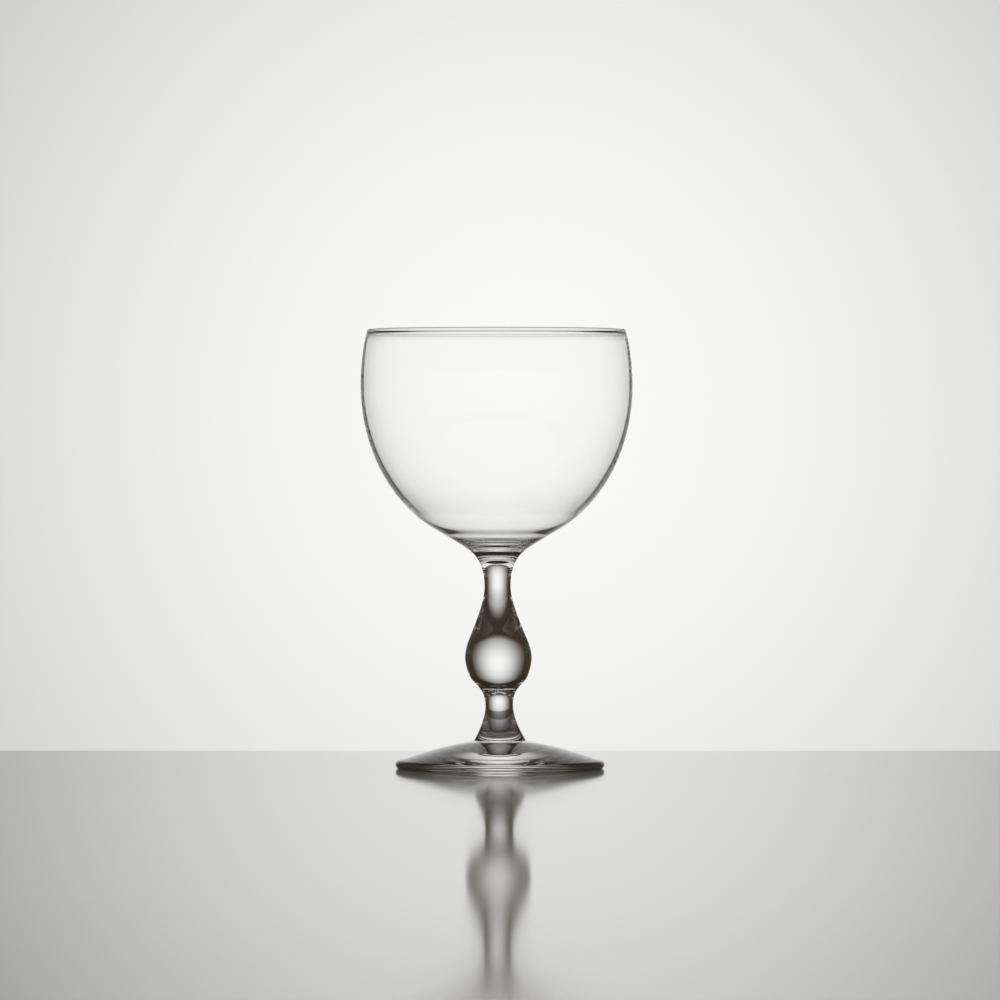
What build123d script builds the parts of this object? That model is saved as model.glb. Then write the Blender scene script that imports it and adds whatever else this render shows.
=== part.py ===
"""A hand-made goblet of clear glass: a blown bowl, a solid baluster stem and a disc foot.

The three pieces are the three gathers of glass that such a glass is made from. They are joined
hot, face to face: the foot to the stem, and the stem to the bowl. All sizes are millimetres,
+Z is up, and the origin is the middle of the ring that the foot stands on.
"""

import os
from math import cos, radians, sin, tan

from build123d import *

# Foot: a disc that is thickest in the middle and stands on a flat ring near its edge
foot_radius = 34.9  # to the outermost point of the rounded edge
foot_height = 9.4  # from the table to where the stem stands
foot_edge_thickness = 2.9
foot_edge_bulge = 1.4  # how far the rounded edge reaches past the top face
foot_swell = 0.45  # how far the top face rises above a straight cone
standing_ring_inset = 1.2  # from the outermost point to the ring that touches the table
standing_ring_width = 1.8
hollow_depth = 1.35  # of the shallow hollow under the foot, at its middle
hollow_lean = 106.0  # where the hollow meets the ring, in degrees off the axis

# Stem: solid, with a waist, a ball knop and a neck. Each rise starts where the last one ends
stem_base_radius = 8.7
waist_radius = 4.6
knop_radius = 11.15
neck_radius = 4.37
stem_top_radius = 9.12
waist_rise = 11.6
knop_rise = 16.0
neck_rise = 23.55
top_rise = 12.05

# How steeply the outline leans off the axis, in degrees
base_lean = 35.0
underside_lean = 25.4
shoulder_lean = 20.3
top_lean = 51.7
cheek_lean = 47.1
bend_lean = 66.7
mouth_lean = 13.5

# Where the outline has that lean below and above the knop, and under the bowl's cheek: the
# share of the rise there, and the share of the step in radius
underside_share = (0.60, 0.76)
shoulder_share = (0.54, 0.602)
cheek_share = (0.226, 0.519)

# Bowl: round, a little closed at the mouth, with a thin wall and a bead at the lip
bowl_radius = 45.3  # outside, at the widest
mouth_inset = 2.1  # how much narrower the outside is just below the lip
wall = 1.0  # at the widest
cheek_wall = 1.7
lip_thickness = 1.2
neck_wall = 0.85  # just below the bead of the lip
bead_height = 2.0  # from the top of the lip to where the bead has run out
bend_radius = 13.2  # where the inside turns from the floor into the wall
bend_rise = -0.4  # of the bend over the inside of the bottom, which stands up a little
floor_thickness = 3.7  # from the stem to the inside of the bowl
belly_depth = 51.5  # from the inside of the bottom up to the widest
mouth_rise = 18.7  # from the widest to the top of the lip

# Heights above the table
waist_height = foot_height + waist_rise
knop_height = waist_height + knop_rise
neck_height = knop_height + neck_rise
stem_top_height = neck_height + top_rise
floor_height = stem_top_height + floor_thickness
widest_height = floor_height + belly_depth
lip_height = widest_height + mouth_rise


def station(radius, height, lean):
    """A place on an outline: its point, and the direction upwards that leans off the axis."""
    return Vector(radius, height), Vector(sin(radians(lean)), cos(radians(lean)))


def part_way(low, high, share, lean):
    """A station at the given shares of the rise and of the step in radius from low to high."""
    rise_share, step_share = share
    step = high[0] - low[0]
    return station(low[0].X + step_share * step.X, low[0].Y + rise_share * step.Y, lean)


def eased(low, high, low_pull, high_pull):
    """A smooth stretch of outline between two stations.

    A pull is how far the outline keeps its direction at that end, as a share of the stretch.
    """
    (start, start_way), (end, end_way) = low, high
    span = (end - start).length
    return Bezier(
        start, start + start_way * (low_pull * span), end - end_way * (high_pull * span), end
    )


def turned(*stretches):
    """Turns a closed outline about the axis. Each stretch stays a face of its own."""
    return revolve(Plane.XZ * Face(Wire(stretches)), axis=Axis.Z, clean=False)


# Foot
top_edge_radius = foot_radius - foot_edge_bulge
ring_outer_radius = foot_radius - standing_ring_inset
ring_inner_radius = ring_outer_radius - standing_ring_width
slope_middle_radius = (stem_base_radius + top_edge_radius) / 2
slope_middle_height = (foot_height + foot_edge_thickness) / 2 + foot_swell

with BuildPart() as foot:
    with BuildLine(mode=Mode.PRIVATE):
        seat = Line((0, foot_height), (stem_base_radius, foot_height))
        slope = ThreePointArc(
            seat @ 1,
            (slope_middle_radius, slope_middle_height),
            (top_edge_radius, foot_edge_thickness),
        )
        edge_top = (slope @ 1, -(slope % 1))
        edge_side = station(foot_radius, foot_edge_thickness / 2, 0)
        edge_upper = eased(edge_side, edge_top, 0.33, 0.33)
        edge_lower = eased(station(ring_outer_radius, 0, 90), edge_side, 0.39, 0.39)
        ring = Line((ring_inner_radius, 0), (ring_outer_radius, 0))
        hollow_edge = station(ring_inner_radius, 0, hollow_lean)
        hollow = eased(station(0, hollow_depth, 90), hollow_edge, 0.33, 0.33)
        axis = Line(hollow @ 0, seat @ 0)
    turned(seat, slope, edge_upper, edge_lower, ring, hollow, axis)

# Stem
base = station(stem_base_radius, foot_height, -base_lean)
waist = station(waist_radius, waist_height, 0)
knop = station(knop_radius, knop_height, 0)
neck = station(neck_radius, neck_height, 0)
stem_top = station(stem_top_radius, stem_top_height, top_lean)
underside = part_way(waist, knop, underside_share, underside_lean)
shoulder = part_way(knop, neck, shoulder_share, -shoulder_lean)

with BuildPart() as stem:
    with BuildLine(mode=Mode.PRIVATE):
        bottom = Line((0, foot_height), base[0])
        ankle = eased(base, waist, 0.10, 0.38)
        ball_foot = eased(waist, underside, 0.55, 0.28)
        ball_lower = eased(underside, knop, 0.10, 0.42)
        ball_upper = eased(knop, shoulder, 0.30, 0.46)
        taper = eased(shoulder, neck, 0.24, 0.31)
        throat = eased(neck, stem_top, 0.456, 0.301)
        top = Line(stem_top[0], (0, stem_top_height))
        axis = Line(top @ 1, bottom @ 0)
    turned(bottom, ankle, ball_foot, ball_lower, ball_upper, taper, throat, top, axis)

# Bowl
lip_foot_height = lip_height - lip_thickness / 2
mouth_radius = bowl_radius - mouth_inset
lip_middle_radius = mouth_radius - lip_thickness / 2
inside_mouth_radius = mouth_radius - lip_thickness

widest = station(bowl_radius, widest_height, 0)
cheek = part_way(stem_top, widest, cheek_share, cheek_lean)
mouth = station(mouth_radius, lip_foot_height, -mouth_lean)
crown_inwards = station(lip_middle_radius, lip_height, -90)
crown_outwards = station(lip_middle_radius, lip_height, 90)
inside_mouth = station(inside_mouth_radius, lip_foot_height, 0)
bead_drop = bead_height - lip_thickness / 2
bead_foot_radius = mouth_radius + bead_drop * tan(radians(mouth_lean)) - neck_wall
bead_foot = station(bead_foot_radius, lip_height - bead_height, -mouth_lean)
inside_widest = station(bowl_radius - wall, widest_height, 0)
inside_cheek = station(
    cheek[0].X - cheek_wall * cheek[1].Y, cheek[0].Y + cheek_wall * cheek[1].X, cheek_lean
)
inside_bend = station(bend_radius, floor_height + bend_rise, bend_lean)
inside_bottom = station(0, floor_height, 90)

with BuildPart() as bowl:
    with BuildLine(mode=Mode.PRIVATE):
        bottom = Line((0, stem_top_height), stem_top[0])
        flare = eased(stem_top, cheek, 0.258, 0.34)
        belly = eased(cheek, widest, 0.33, 0.36)
        side = eased(widest, mouth, 0.33, 0.33)
        lip_outside = eased(mouth, crown_inwards, 0.39, 0.39)
        lip_inside = eased(inside_mouth, crown_outwards, 0.39, 0.39)
        bead = eased(bead_foot, inside_mouth, 0.35, 0.40)
        inside_side = eased(inside_widest, bead_foot, 0.33, 0.33)
        inside_belly = eased(inside_cheek, inside_widest, 0.33, 0.36)
        inside_turn = eased(inside_bend, inside_cheek, 0.49, 0.194)
        inside_floor = eased(inside_bottom, inside_bend, 0.467, 0.527)
        axis = Line(inside_floor @ 0, bottom @ 0)
    outside = (bottom, flare, belly, side, lip_outside)
    inside = (lip_inside, bead, inside_side, inside_belly, inside_turn, inside_floor)
    turned(*outside, *inside, axis)

foot.part.label = "foot"
stem.part.label = "stem"
bowl.part.label = "bowl"

os.makedirs("parts", exist_ok=True)
export_step(foot.part, "parts/foot.step")
export_step(stem.part, "parts/stem.step")
export_step(bowl.part, "parts/bowl.step")

print(f"height {lip_height:.1f}, widest {2 * bowl_radius:.1f}, foot {2 * foot_radius:.1f} mm")
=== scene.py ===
# %% [markdown]
# # A hand-made goblet of clear glass
#
# The object is a drinking glass made from three gathers of glass: a blown bowl, a solid stem that
# was tooled while it turned, and a disc foot. They were joined hot, so the finished thing is one
# clear body with no seams. Everything that the eye gets from it is light that has been bent: the
# ball on the stem is a lens, the wall of the bowl is a thin shell, and the dark lines are places
# where the glass looks past the lit backdrop.
#
# So this lesson has two halves. The first makes clean, closed, finely divided shells, because a
# lens shows every fault of its surface. The second half makes what the glass looks at.

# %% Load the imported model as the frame
from math import cos, exp, pi, radians, sin

import bmesh
import bpy
from mathutils import Matrix, Vector


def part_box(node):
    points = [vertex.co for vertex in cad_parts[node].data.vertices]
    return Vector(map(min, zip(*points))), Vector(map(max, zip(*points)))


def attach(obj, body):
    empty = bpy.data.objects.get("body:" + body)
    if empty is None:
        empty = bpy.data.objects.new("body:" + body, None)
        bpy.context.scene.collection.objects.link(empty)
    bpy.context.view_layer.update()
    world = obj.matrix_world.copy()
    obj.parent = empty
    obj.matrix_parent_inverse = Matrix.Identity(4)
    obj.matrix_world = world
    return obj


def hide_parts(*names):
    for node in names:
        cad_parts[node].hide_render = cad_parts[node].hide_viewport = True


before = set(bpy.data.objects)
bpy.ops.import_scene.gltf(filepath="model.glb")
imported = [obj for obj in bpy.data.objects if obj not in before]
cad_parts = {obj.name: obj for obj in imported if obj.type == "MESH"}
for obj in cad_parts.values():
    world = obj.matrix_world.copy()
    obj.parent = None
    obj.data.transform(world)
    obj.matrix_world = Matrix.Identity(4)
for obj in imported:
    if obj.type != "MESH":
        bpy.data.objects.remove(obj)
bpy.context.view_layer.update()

MM = 0.001

# %% [markdown]
# ## Sizes
#
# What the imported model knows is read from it: the heights of the two joints, the greatest radius
# of each piece and the height of the lip. The rest of an outline is given here in millimetres, as
# a glassmaker's drawing would.

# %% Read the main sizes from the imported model
_, foot_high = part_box("foot")
stem_low, stem_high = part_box("stem")
bowl_low, bowl_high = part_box("bowl")

foot_radius = foot_high.x / MM
knop_radius = stem_high.x / MM
bowl_radius = bowl_high.x / MM
foot_joint_height = stem_low.z / MM
bowl_joint_height = bowl_low.z / MM
lip_height = bowl_high.z / MM
foot_joint_radius = 8.7
bowl_joint_radius = 9.12
print(f"foot {foot_radius:.2f}, knop {knop_radius:.2f}, bowl {bowl_radius:.2f} mm in radius")
print(f"joints at {foot_joint_height:.1f} and {bowl_joint_height:.1f}, lip at {lip_height:.1f} mm")

# %% [markdown]
# ## From an outline to a piece of glass
#
# Glass that turns on an iron has a round section everywhere, so each piece is one outline turned
# about the upright axis. A polyline could give that outline, but a lens shows its corners. A
# Bezier curve stays smooth with a handful of points: each is a place where the maker's tool left a
# waist, a widest place or a flare. A point has its radius, its height, and the way that the
# outline runs there: 0 degrees is up, 90 is away from the axis, and 180 is down. Where the outline
# turns a corner, the same place stands twice, with the two ways.

# %% A curve through the points of an outline
CURVE_STEPS = 24


def outline_curve(name, places, pulls):
    """A Bezier curve in the XZ plane. A pull is a handle's length, as a share of its stretch."""
    curve = bpy.data.curves.new(name, "CURVE")
    curve.dimensions = "3D"
    curve.resolution_u = CURVE_STEPS
    spline = curve.splines.new("BEZIER")
    spline.bezier_points.add(len(places) - 1)
    ways = [Vector((sin(radians(way)), 0, cos(radians(way)))) for _, _, way in places]
    points = list(spline.bezier_points)
    for point, (radius, height, _) in zip(points, places):
        point.handle_left_type = point.handle_right_type = "FREE"
        point.co = point.handle_left = point.handle_right = Vector((radius, 0, height)) * MM
    for i, (pull_after, pull_before) in enumerate(pulls):
        span = (points[i + 1].co - points[i].co).length
        points[i].handle_right = points[i].co + ways[i] * span * pull_after
        points[i + 1].handle_left = points[i + 1].co - ways[i + 1] * span * pull_before
    print(f"{name}: {len(places)} places")
    return bpy.data.objects.new(name, curve)


# %% [markdown]
# ## Turning it
#
# `bmesh.ops.spin` turns the outline into a skin. The ends of the outline that stand on a joint are
# first drawn in to the axis, which closes the piece with a flat disc. The Screw modifier could turn
# it too, but it would leave those ends open. With 192 steps to the turn, the faces showed as dots
# along the sides of the bowl, where the eye looks along the glass, so there are more.

# %% Turn an outline about the axis
SEGMENTS = 320
MERGE_DISTANCE = 0.002 * MM


def turned_skin(mesh, joint_heights):
    """The lines of a mesh turned about Z, and closed with a flat disc at each joint."""
    bm = bmesh.new()
    bm.from_mesh(mesh)
    bmesh.ops.remove_doubles(bm, verts=bm.verts, dist=MERGE_DISTANCE)
    for end in [v for v in bm.verts if len(v.link_edges) == 1]:
        if any(abs(end.co.z - height * MM) < MERGE_DISTANCE for height in joint_heights):
            made = bmesh.ops.extrude_vert_indiv(bm, verts=[end])
            made["verts"][0].co = (0, 0, end.co.z)
    bmesh.ops.spin(
        bm, geom=bm.verts[:] + bm.edges[:], cent=(0, 0, 0), axis=(0, 0, 1), angle=2 * pi,
        steps=SEGMENTS, use_merge=True,
    )
    bmesh.ops.remove_doubles(bm, verts=bm.verts, dist=MERGE_DISTANCE)
    bmesh.ops.recalc_face_normals(bm, faces=bm.faces)
    return bm


print("an outline is turned in", SEGMENTS, "steps")

# %% [markdown]
# ## Telling the joints from the skin
#
# The two discs of a joint face each other across a gap too small to see, and they get a material
# of their own: the real glass is fused there, so light has to pass as if there were nothing. Where
# a flat disc meets the smooth skin, the edge is marked sharp. Otherwise the shading of the skin
# would tip towards the disc, and light would bend wrongly close to the joint.

# %% Mark the faces of a skin
SKIN, JOINT = 0, 1
FLATNESS = 0.001  # millimetres that a flat face may rise
JOINT_GAP = 0.005  # millimetres between the two discs of a joint


def mark_faces(bm, joint_heights):
    """Smooths the skin, keeps the flat faces flat, and gives the discs the second material."""
    for face in bm.faces:
        heights = [v.co.z / MM for v in face.verts]
        flat = max(heights) - min(heights) < FLATNESS
        on_joint = flat and any(abs(heights[0] - height) < 2 * JOINT_GAP for height in joint_heights)
        face.smooth = not flat
        face.material_index = JOINT if on_joint else SKIN
    for edge in bm.edges:
        edge.smooth = len({face.smooth for face in edge.link_faces}) == 1


print(f"the discs of a joint are {JOINT_GAP} mm apart")

# %% [markdown]
# ## A slight lean
#
# A hand-made glass is never quite straight. Seen from the front, the stem of this one leans less
# than a degree to the left, and the bowl stands up again on it. Turning an object would tilt its
# foot as well. A shear that fades with height leaves the foot flat, and it gives all the pieces
# the same lean, so that the two discs of a joint still meet.

# %% How far the axis stands off the upright
LEAN = 1.26  # millimetres, which the axis would reach far above the foot
LEAN_HEIGHT = 50.0  # millimetres above the foot's joint, where it has nearly two thirds of that


def lean_at(height):
    """Where the axis is on X at a height, in millimetres."""
    return -LEAN * (1 - exp(-max(0.0, height - foot_joint_height) / LEAN_HEIGHT))


for place, height in (("the bowl's joint", bowl_joint_height), ("the lip", lip_height)):
    print(f"at {place} the axis is at {lean_at(height):.2f} mm on X")


# %% [markdown]
# ## A finished piece
#
# Each piece takes three steps: its outline is turned, its faces are marked, and every point moves
# by the lean at its height. Then the volume is measured, which is the glass that the maker would
# gather. It means something only while the shell is closed, so the open edges are counted too.

# %% From an outline to a finished piece
def turned_piece(name, outline, joint_heights):
    """A closed mesh of one gather of glass, which leans with the others."""
    mesh = bpy.data.meshes.new_from_object(outline)
    bm = turned_skin(mesh, joint_heights)
    mark_faces(bm, joint_heights)
    for v in bm.verts:
        v.co.x += lean_at(v.co.z / MM) * MM
    bm.to_mesh(mesh)
    open_edges = sum(1 for e in bm.edges if len(e.link_faces) != 2)
    print(f"{name}: {len(bm.faces)} faces, {open_edges} open edges, "
          f"{bm.calc_volume() / MM**3 / 1000:.2f} ml of glass")
    bm.free()
    piece = bpy.data.objects.new(name, mesh)
    bpy.context.scene.collection.objects.link(piece)
    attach(piece, "root")
    return piece


# %% [markdown]
# ## The foot
#
# The foot is a disc that was opened out of a soft gather, so its top rises in a shallow cone to
# where the stem stands, and its edge is round from the fire. Underneath it is hollowed a little,
# and it stands on a narrow flat ring. A bevelled cylinder would give a sharp cone on a flat bottom,
# and both would show, because the eye sees the whole foot again in its own underside. Seven
# places on an outline give the slope, the round edge, the ring and the hollow.

# %% The foot
edge_thickness = 2.9
edge_bulge = 1.4
ring_inset = 1.2
ring_width = 1.8
hollow_depth = 1.35
slope_top_way = 100.8
slope_end_way = 108.6
hollow_edge_way = 286
ring_outer_radius = foot_radius - ring_inset
ring_inner_radius = ring_outer_radius - ring_width
foot_outline = outline_curve(
    "foot_outline",
    [
        (foot_joint_radius, foot_joint_height, slope_top_way),
        (foot_radius - edge_bulge, edge_thickness, slope_end_way),
        (foot_radius, edge_thickness / 2, 180),
        (ring_outer_radius, 0, 270),
        (ring_inner_radius, 0, 270),
        (ring_inner_radius, 0, hollow_edge_way),
        (0, hollow_depth, 270),
    ],
    [(0.33, 0.33), (0.33, 0.33), (0.39, 0.39), (0.33, 0.33), (0, 0), (0.33, 0.33)],
)
foot = turned_piece("glass_foot", foot_outline, [foot_joint_height])
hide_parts("foot")

# %% [markdown]
# ## The stem
#
# The stem is solid: a waist, a ball, a long taper, a neck, and a flare that carries the bowl. The
# ball is a lens that turns the backdrop upside down, and the picture in its middle is only as
# clean as its curve. Stacked spheres and cones would meet at seams, which the lens would draw as
# lines. So the whole stem is one curve that runs straight up at each waist and each widest place.

# %% The stem
base_way = -35
flare_way = 51.7
waist = (4.6, 21.0, 0)
ball_underside = (9.58, 30.6, 25.4)
ball_middle = (knop_radius, 37.0, 0)
taper = (7.07, 49.72, -20.3)
neck = (4.37, 60.55, 0)
stem_outline = outline_curve(
    "stem_outline",
    [
        (foot_joint_radius, foot_joint_height + JOINT_GAP, base_way),
        waist,
        ball_underside,
        ball_middle,
        taper,
        neck,
        (bowl_joint_radius, bowl_joint_height, flare_way),
    ],
    [(0.10, 0.38), (0.55, 0.28), (0.10, 0.42), (0.30, 0.46), (0.24, 0.31), (0.456, 0.301)],
)
stem = turned_piece("glass_stem", stem_outline, [foot_joint_height + JOINT_GAP, bowl_joint_height])
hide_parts("stem")

# %% [markdown]
# ## The bowl
#
# The bowl was blown, so its wall is thick at the bottom and thin higher up, and its cut lip was
# melted to a bead. The Solidify modifier would give one thickness everywhere. Here the outline
# runs up the outside, over the lip and down the inside, and each side has its own places: they are
# 1 mm apart at the widest and 1.7 mm at the cheek, and the floor is 3.7 mm thick. The inside of the
# bottom stands up a little in the middle, which draws some of the dark lines over the neck.

# %% The sizes of the bowl
wall = 1.0
cheek_wall = 1.7
cheek_radius = 27.9
cheek_height = 85.075
cheek_way = 47.1
widest_height = 127.8
mouth_inset = 2.1
mouth_way = 13.5
lip_thickness = 1.2
bead_height = 2.0
bead_foot_inset = 2.614
inside_bend = (13.2, 75.9, 246.7)
inside_bottom = (0, 76.3, 270)

mouth_radius = bowl_radius - mouth_inset
lip_foot_height = lip_height - lip_thickness / 2
inside_cheek = (
    cheek_radius - cheek_wall * cos(radians(cheek_way)),
    cheek_height + cheek_wall * sin(radians(cheek_way)),
    cheek_way + 180,
)
print(f"mouth {2 * mouth_radius:.1f} mm across, bead {lip_thickness} mm thick")

# %% The bowl
bowl_outline = outline_curve(
    "bowl_outline",
    [
        (bowl_joint_radius, bowl_joint_height + JOINT_GAP, flare_way),
        (cheek_radius, cheek_height, cheek_way),
        (bowl_radius, widest_height, 0),
        (mouth_radius, lip_foot_height, -mouth_way),
        (mouth_radius - lip_thickness / 2, lip_height, -90),
        (mouth_radius - lip_thickness, lip_foot_height, 180),
        (bowl_radius - bead_foot_inset, lip_height - bead_height, 180 - mouth_way),
        (bowl_radius - wall, widest_height, 180),
        inside_cheek,
        inside_bend,
        inside_bottom,
    ],
    [
        (0.258, 0.34), (0.33, 0.36), (0.33, 0.33), (0.39, 0.39), (0.39, 0.39), (0.40, 0.35),
        (0.33, 0.33), (0.36, 0.33), (0.194, 0.49), (0.527, 0.467),
    ],
)
bowl = turned_piece("glass_bowl", bowl_outline, [bowl_joint_height + JOINT_GAP])
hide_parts("bowl")


# %% [markdown]
# ## Shader maths as Python
#
# The glass needs few nodes, but the studio around it is drawn by formulas: a soft spot on a
# backdrop, a table that is darker near the camera, a room that is lit on one side. Math nodes
# wired by hand hide such a formula. A small class that wraps a socket lets Python's own operators
# add the nodes, and a second class makes any other node from its type, its settings and its inputs.

# %% A socket that Python's operators work on
class Signal:
    """One output socket of a node."""

    def __init__(self, recipe, socket):
        self.recipe = recipe
        self.socket = socket

    def math(self, operation, *others):
        return self.recipe.node("ShaderNodeMath", {"operation": operation}, [self, *others])

    def __add__(self, other):
        return self.math("ADD", other)

    __radd__ = __add__

    def __sub__(self, other):
        return self.math("SUBTRACT", other)

    def __rsub__(self, other):
        return (self * -1) + other

    def __mul__(self, other):
        return self.math("MULTIPLY", other)

    __rmul__ = __mul__


# %% The nodes of one finish
class Recipe:
    """The nodes of one material or world."""

    def __init__(self, owner):
        owner.use_nodes = True
        self.name = owner.name
        self.tree = owner.node_tree
        self.tree.nodes.clear()

    def node(self, kind, settings=None, inputs=(), output=0):
        """Makes a node, sets it, fills its sockets in order or by name, and gives one output."""
        made = self.tree.nodes.new(kind)
        for name, value in (settings or {}).items():
            setattr(made, name, value)
        pairs = inputs.items() if isinstance(inputs, dict) else enumerate(inputs)
        for key, value in pairs:
            if isinstance(value, Signal):
                self.tree.links.new(value.socket, made.inputs[key])
            else:
                made.inputs[key].default_value = value
        return Signal(self, made.outputs[output]) if len(made.outputs) else made

    def place(self, axis, coordinates="Object"):
        """X, Y or Z of a place on the surface, or of a direction in the world."""
        source = self.node("ShaderNodeTexCoord", {}, (), coordinates)
        return self.node("ShaderNodeSeparateXYZ", {}, [source], axis)

    def blend(self, share, first, second):
        """A colour between two colours."""
        inputs = {"Factor": share, "A": first, "B": second}
        return self.node("ShaderNodeMix", {"data_type": "RGBA"}, inputs, "Result")

    def ramp(self, value, start, end):
        """0 before the start, 1 past the end, and a soft change between."""
        settings = {"interpolation_type": "SMOOTHSTEP"}
        return self.node("ShaderNodeMapRange", settings, [value, start, end, 0, 1])

    def mix(self, share, first, second):
        """A shader between two shaders."""
        return self.node("ShaderNodeMixShader", {}, [share, first, second])

    def finish(self, shader, output="ShaderNodeOutputMaterial"):
        """Joins the shader to the output, and says how many nodes the recipe has."""
        self.node(output, {}, {"Surface": shader})
        print(f"{self.name}: {len(self.tree.nodes)} nodes")


print("sums, products and nodes of a finish can now be written as Python")


# %% [markdown]
# ## Clear glass
#
# The finish of the stem and the foot is fire polish: no grain, no scratches, and a tint too faint
# to name. There is no pattern to paint on it. What makes it look real is how far it bends light, so
# the roughness is 0 and the index of refraction is that of table glass. The Principled shader does
# this as well as the Glass shader, and other programs understand it.

# %% Clear glass
GLASS_INDEX = 1.5
glass = {
    "Base Color": (1.0, 0.999, 0.996, 1),
    "Roughness": 0.0,
    "IOR": GLASS_INDEX,
    "Transmission Weight": 1.0,
}
clear_glass = bpy.data.materials.new("clear_glass")
recipe = Recipe(clear_glass)
recipe.finish(recipe.node("ShaderNodeBsdfPrincipled", {}, glass))

# %% [markdown]
# ## The thin wall of the bowl
#
# A wall of glass mirrors some light at each of its surfaces, and most of it at a grazing angle.
# Plain clear glass made the sides of this bowl greyer than the photograph has them, perhaps because
# a camera presses the brightest tones together. Thinner glass would not help, because the loss is
# at the surfaces. So between the cheek and the bead of the lip, a share of the light passes by
# refraction alone, which bends the same but mirrors nothing. The share comes and goes softly with
# height, because a sudden start would show as a line round the bowl.

# %% The thin wall of the bowl
wall_starts = (0.082, 0.098)
wall_ends = (0.142, 0.1445)
most_passing = 0.6
wall_glass = bpy.data.materials.new("wall_glass")
recipe = Recipe(wall_glass)
height = recipe.place("Z")
share = recipe.ramp(height, *wall_starts) * (1 - recipe.ramp(height, *wall_ends)) * most_passing
mirroring = recipe.node("ShaderNodeBsdfPrincipled", {}, glass)
passing = recipe.node(
    "ShaderNodeBsdfRefraction", {}, {"Color": (1, 1, 1, 1), "Roughness": 0.0, "IOR": GLASS_INDEX}
)
recipe.finish(recipe.mix(share, mirroring, passing))

# %% [markdown]
# ## The fused joints
#
# Where two gathers were joined hot, no surface is left. The pieces stay separate objects here, so
# each has a disc at its end, and a disc of glass against glass would mirror like any other surface.
# A Boolean union would take the discs away, but the separate pieces with them. An alpha of 0 lets
# light pass a disc as if it were not there. The two discs of a joint stand a few thousandths of a
# millimetre apart, because a ray can be caught between two faces that lie in the same place.

# %% The fused joints
fused_joint = bpy.data.materials.new("fused_joint")
recipe = Recipe(fused_joint)
recipe.finish(recipe.node("ShaderNodeBsdfPrincipled", {}, {"Alpha": 0.0}))
for piece, finish in ((foot, clear_glass), (stem, clear_glass), (bowl, wall_glass)):
    piece.data.materials.append(finish)
    piece.data.materials.append(fused_joint)
    joint_faces = sum(1 for face in piece.data.polygons if face.material_index == JOINT)
    print(f"{piece.name}: {finish.name}, and {joint_faces} faces in a joint")

# %% [markdown]
# ## The camera
#
# The camera is level with the middle of the bowl: the lip is seen from a little below and the foot
# from a little above. A camera that is nearer makes both ellipses rounder. At about two metres they
# are as flat as in the photograph, and then a long lens fills the picture. The camera looks level
# apart from a small pitch, which puts the eye's height on its row of the picture.

# %% The camera
camera_distance = 2.111
camera_height = 0.110
picture_size = 1000
focal_pixels = 6332
horizon_row = 438.6
sensor_width = 36.0
pitch = (picture_size / 2 - horizon_row) / focal_pixels

camera_data = bpy.data.cameras.new("camera")
camera_data.sensor_width = sensor_width
camera_data.lens = focal_pixels / picture_size * sensor_width
camera_data.clip_start = 0.05
camera_data.clip_end = 50
camera = bpy.data.objects.new("camera", camera_data)
bpy.context.scene.collection.objects.link(camera)
camera.location = (0, -camera_distance, camera_height)
camera.rotation_euler = (pi / 2 - pitch, 0, 0)
bpy.context.scene.camera = camera
print(f"lens {camera_data.lens:.0f} mm, pitch {pitch * 180 / pi:.2f} degrees")

# %% [markdown]
# ## How often light may bend
#
# In the neck's flare and in the foot, light is turned back inside the glass many times before it
# gets out. The usual limits cut such paths off, which leaves black patches that no real glass has.
# More light would not fill them, so the limits are raised instead.

# %% How often light may bend
light_paths = bpy.context.scene.cycles
light_paths.max_bounces = 32
light_paths.transmission_bounces = 32
light_paths.glossy_bounces = 24
print("light may bend", light_paths.max_bounces, "times")

# %% [markdown]
# ## The studio
#
# Clear glass is shown against a lit sheet in a dark room. The sheet makes the glass bright, and
# the dark room draws its edges and the dark bands of the stem. Lamps would show in the ball as
# hard points, so the light comes from the sheet and the room alone.

# %% A flat sheet of the studio
def flat_sheet(name, centre, half_width, half_depth, turn=None):
    """A single flat face, with its place in its mesh."""
    bm = bmesh.new()
    bmesh.ops.create_grid(bm, x_segments=1, y_segments=1, size=1)
    scale = Matrix.Diagonal((half_width, half_depth, 1, 1))
    matrix = Matrix.Translation(centre) @ (turn or Matrix.Identity(4)) @ scale
    bmesh.ops.transform(bm, matrix=matrix, verts=bm.verts)
    mesh = bpy.data.meshes.new(name)
    bm.to_mesh(mesh)
    bm.free()
    made = bpy.data.objects.new(name, mesh)
    bpy.context.scene.collection.objects.link(made)
    print(f"{name}: {2 * half_width:.1f} by {2 * half_depth:.2f} m")
    return made


# %% [markdown]
# ## Straight rays and bent rays
#
# A photographer would move cards and flags until the glass has its dark bands. Here Light Path
# does what the cards do: the sheets and the room are pale to rays that the camera sends straight,
# and darker to rays that glass has bent. Light that has passed four surfaces has passed both walls
# of the bowl, and it counts as straight, because thin walls hardly turn it.

# %% What kind of ray it is
BOTH_WALLS = 4  # surfaces


def ray_facts(recipe):
    """Signals about a ray: seen straight, through the bowl's walls, mirrored, and scattered."""
    from_camera = recipe.node("ShaderNodeLightPath", {}, (), "Is Camera Ray")
    outputs = from_camera.socket.node.outputs
    mirrored = Signal(recipe, outputs["Is Reflection Ray"])
    scattered = Signal(recipe, outputs["Is Diffuse Ray"])
    depth = Signal(recipe, outputs["Transmission Depth"])
    walls = depth.math("COMPARE", BOTH_WALLS, 0.5) * (1 - mirrored)
    return from_camera.math("MAXIMUM", walls), walls, mirrored, scattered


print("both walls of the bowl are", BOTH_WALLS, "surfaces")

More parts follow.
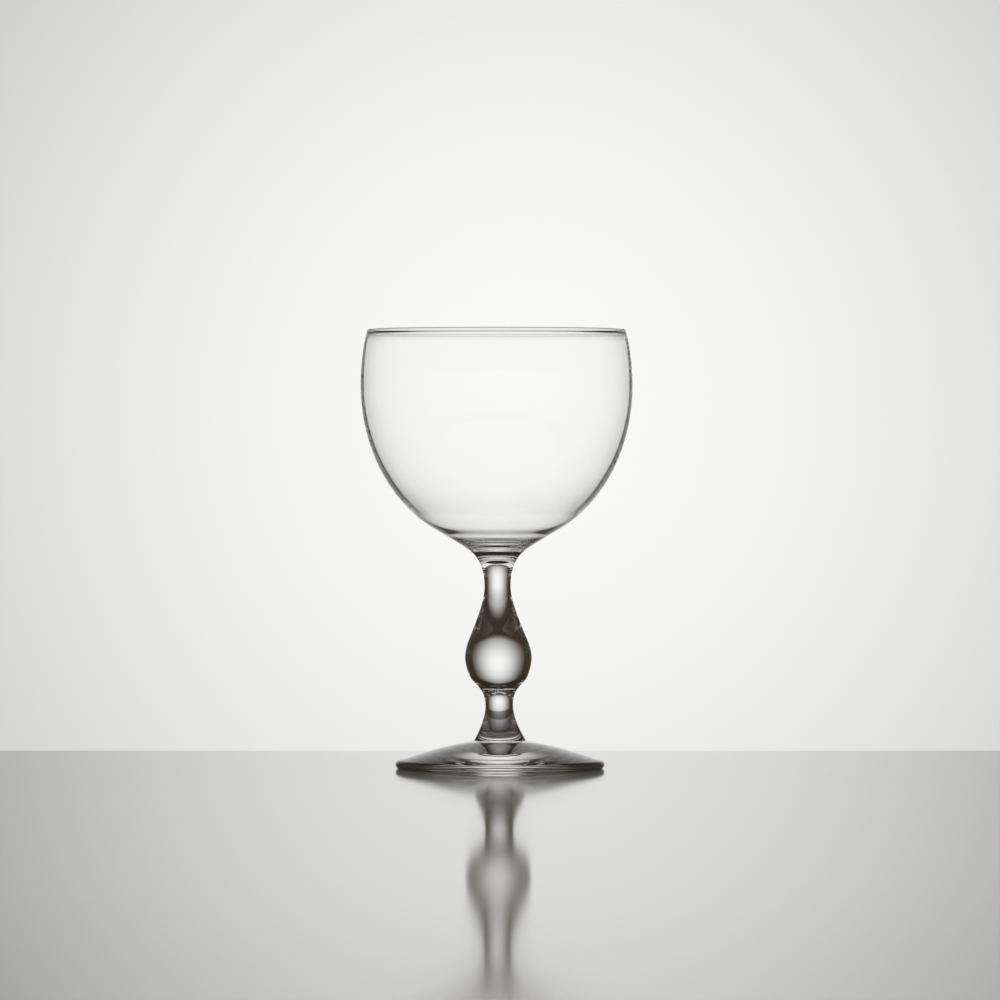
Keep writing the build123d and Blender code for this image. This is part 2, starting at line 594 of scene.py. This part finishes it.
# %% [markdown]
# ## The backdrop
#
# A soft spot of light lies on the backdrop. It fades towards the floor and ends in a soft edge at
# the top. A plain emissive sheet would fill the whole stem with white. With the spot, the ball
# shows it upside down with a dark rim, as the real one does. To straight rays the backdrop never
# gets darker than a pale grey. The sheet lets rays from behind pass, so that the glass can be
# looked at from there as well.

# %% The backdrop
backdrop_distance = 1.1
backdrop_half_width = 0.9
backdrop_half_height = 1.6
backdrop = flat_sheet(
    "backdrop", (0, backdrop_distance, 0), backdrop_half_width, backdrop_half_height,
    Matrix.Rotation(pi / 2, 4, "X"),
)

# %% The light on the backdrop
seen_white = (0.93, 0.93, 0.922, 1)
dim_tint = (1.2, 0.90, 0.60, 1)
dim_below = 0.35
pale = 0.55
spot_centre = (0.015, 0.125)
spot_width = 0.36
spot_height = 0.385
spot_foot = (-0.52, -0.36)
spot_top = (0.70, 0.80)
narrower_when_mirrored = 0.4
gain_when_bent = 0.04
gain_through_walls = 0.03
least_light = 0.02

material = bpy.data.materials.new("lit_backdrop")
backdrop.data.materials.append(material)
recipe = Recipe(material)
x = recipe.place("X")
z = recipe.place("Z")
straight, walls, mirrored, _ = ray_facts(recipe)
across = (x - spot_centre[0]) * (1 / spot_width) * (1 + mirrored * narrower_when_mirrored)
upward = (z - spot_centre[1]) * (1 / spot_height)
spot = ((across * across + upward * upward) * -0.5).math("EXPONENT")
lit = spot * recipe.ramp(z, *spot_foot) * (1 - recipe.ramp(z, *spot_top))
gain = (1 + gain_when_bent) - straight * gain_when_bent
level = lit.math("MAXIMUM", straight * pale) * gain + walls * gain_through_walls + least_light
colour = recipe.blend(recipe.ramp(level, 0, dim_below), dim_tint, seen_white)
glow = recipe.node("ShaderNodeEmission", {}, {"Color": colour, "Strength": level})
clear = recipe.node("ShaderNodeBsdfTransparent")
behind = recipe.node("ShaderNodeNewGeometry", {}, (), "Backfacing")
recipe.finish(recipe.mix(behind, glow, clear))

# %% [markdown]
# ## The table
#
# The table is satin: it mirrors the foot softly close by and blurs what is farther off. A small
# roughness does that by itself, with no blur added later. To straight rays it is pale, with a
# painted shade that darkens its colour close to the camera. To bent rays its colour is a painted
# shade, dark, and they pass its last stretch, which lets light from the backdrop into the foot. It
# ends a little behind the glass, and its edge is the line across the picture.

# %% The table
table_back = 0.12
table_front = -1.6
table_half_width = 1.5
table = flat_sheet(
    "table", (0, (table_back + table_front) / 2, 0), table_half_width, (table_back - table_front) / 2
)

# %% The satin of the table
pale_satin = (0.36, 0.35, 0.315, 1)
# Painted shade: this darker colour is laid on the table close to the camera.
near_satin_painted_shade = (0.21, 0.205, 0.185, 1)
# Painted shade: bent rays see the table in this dark colour.
dark_satin_painted_shade = (0.062, 0.045, 0.028, 1)
painted_shade_near_camera = (-0.95, -0.45)
last_stretch = 0.088

material = bpy.data.materials.new("satin_table")
table.data.materials.append(material)
recipe = Recipe(material)
straight, _, _, scattered = ray_facts(recipe)
y = recipe.place("Y")
# Painted shade: the colour darkens towards the camera, and it is dark to bent rays.
seen_satin_with_painted_shade = recipe.blend(recipe.ramp(y, *painted_shade_near_camera), near_satin_painted_shade, pale_satin)
colour = recipe.blend(straight, dark_satin_painted_shade, seen_satin_with_painted_shade)
polish = {"Base Color": colour, "Roughness": 0.075, "IOR": 1.5}
satin = recipe.node("ShaderNodeBsdfPrincipled", {}, polish)
passed = y.math("GREATER_THAN", last_stretch) * (1 - straight) * (1 - scattered)
clear = recipe.node("ShaderNodeBsdfTransparent")
recipe.finish(recipe.mix(passed, satin, clear))

# %% [markdown]
# ## The room
#
# Around the sheets is a warm room that is nearly dark. Behind the camera it is white, and the glass
# mirrors a little of that. An even grey world would be simpler, but it would lay a veil over the
# dark bands of the stem. The formula turns a direction into an azimuth, 0 at the backdrop and 180
# behind the camera, and a soft ramp lights the camera's side. Bent rays get a small share of it,
# and only from low down.

# %% The room
dark_room = (0.030, 0.022, 0.013, 1)
front_white = (0.95, 0.86, 0.74, 1)
front_starts, front_full = 85, 130
mirrored_front_starts, mirrored_front_full = 35, 120
mirrored_share = 0.4
bent_share = 0.1
bent_up_to = (0.35, 0.60)
scattered_level = 0.6

world = bpy.data.worlds.new("studio")
bpy.context.scene.world = world
recipe = Recipe(world)
x = recipe.place("X", "Generated")
y = recipe.place("Y", "Generated")
z = recipe.place("Z", "Generated")
straight, _, mirrored, scattered = ray_facts(recipe)
azimuth = x.math("ARCTAN2", y).math("ABSOLUTE") * (180 / pi)
starts = front_starts - mirrored * (front_starts - mirrored_front_starts)
full = front_full - mirrored * (front_full - mirrored_front_full)
bent = (1 - recipe.ramp(z, *bent_up_to)) * bent_share
share = (mirrored * mirrored_share).math("MAXIMUM", straight).math("MAXIMUM", bent)
in_front = recipe.ramp(azimuth, starts, full) * share
plain = (straight * (pale + least_light)).math("MAXIMUM", scattered * scattered_level)
tint = recipe.blend(straight.math("MAXIMUM", scattered), front_white, seen_white)
seen = recipe.blend(in_front.math("MAXIMUM", plain), dark_room, tint)
background = recipe.node("ShaderNodeBackground", {}, {"Color": seen, "Strength": 1.0})
recipe.finish(background, "ShaderNodeOutputWorld")

# %% [markdown]
# ## The picture
#
# The Standard view shows a colour about as it is written, which the pale backdrop needs.

# %% Picture settings
bpy.context.scene.view_settings.view_transform = "Standard"
print("view:", bpy.context.scene.view_settings.view_transform)
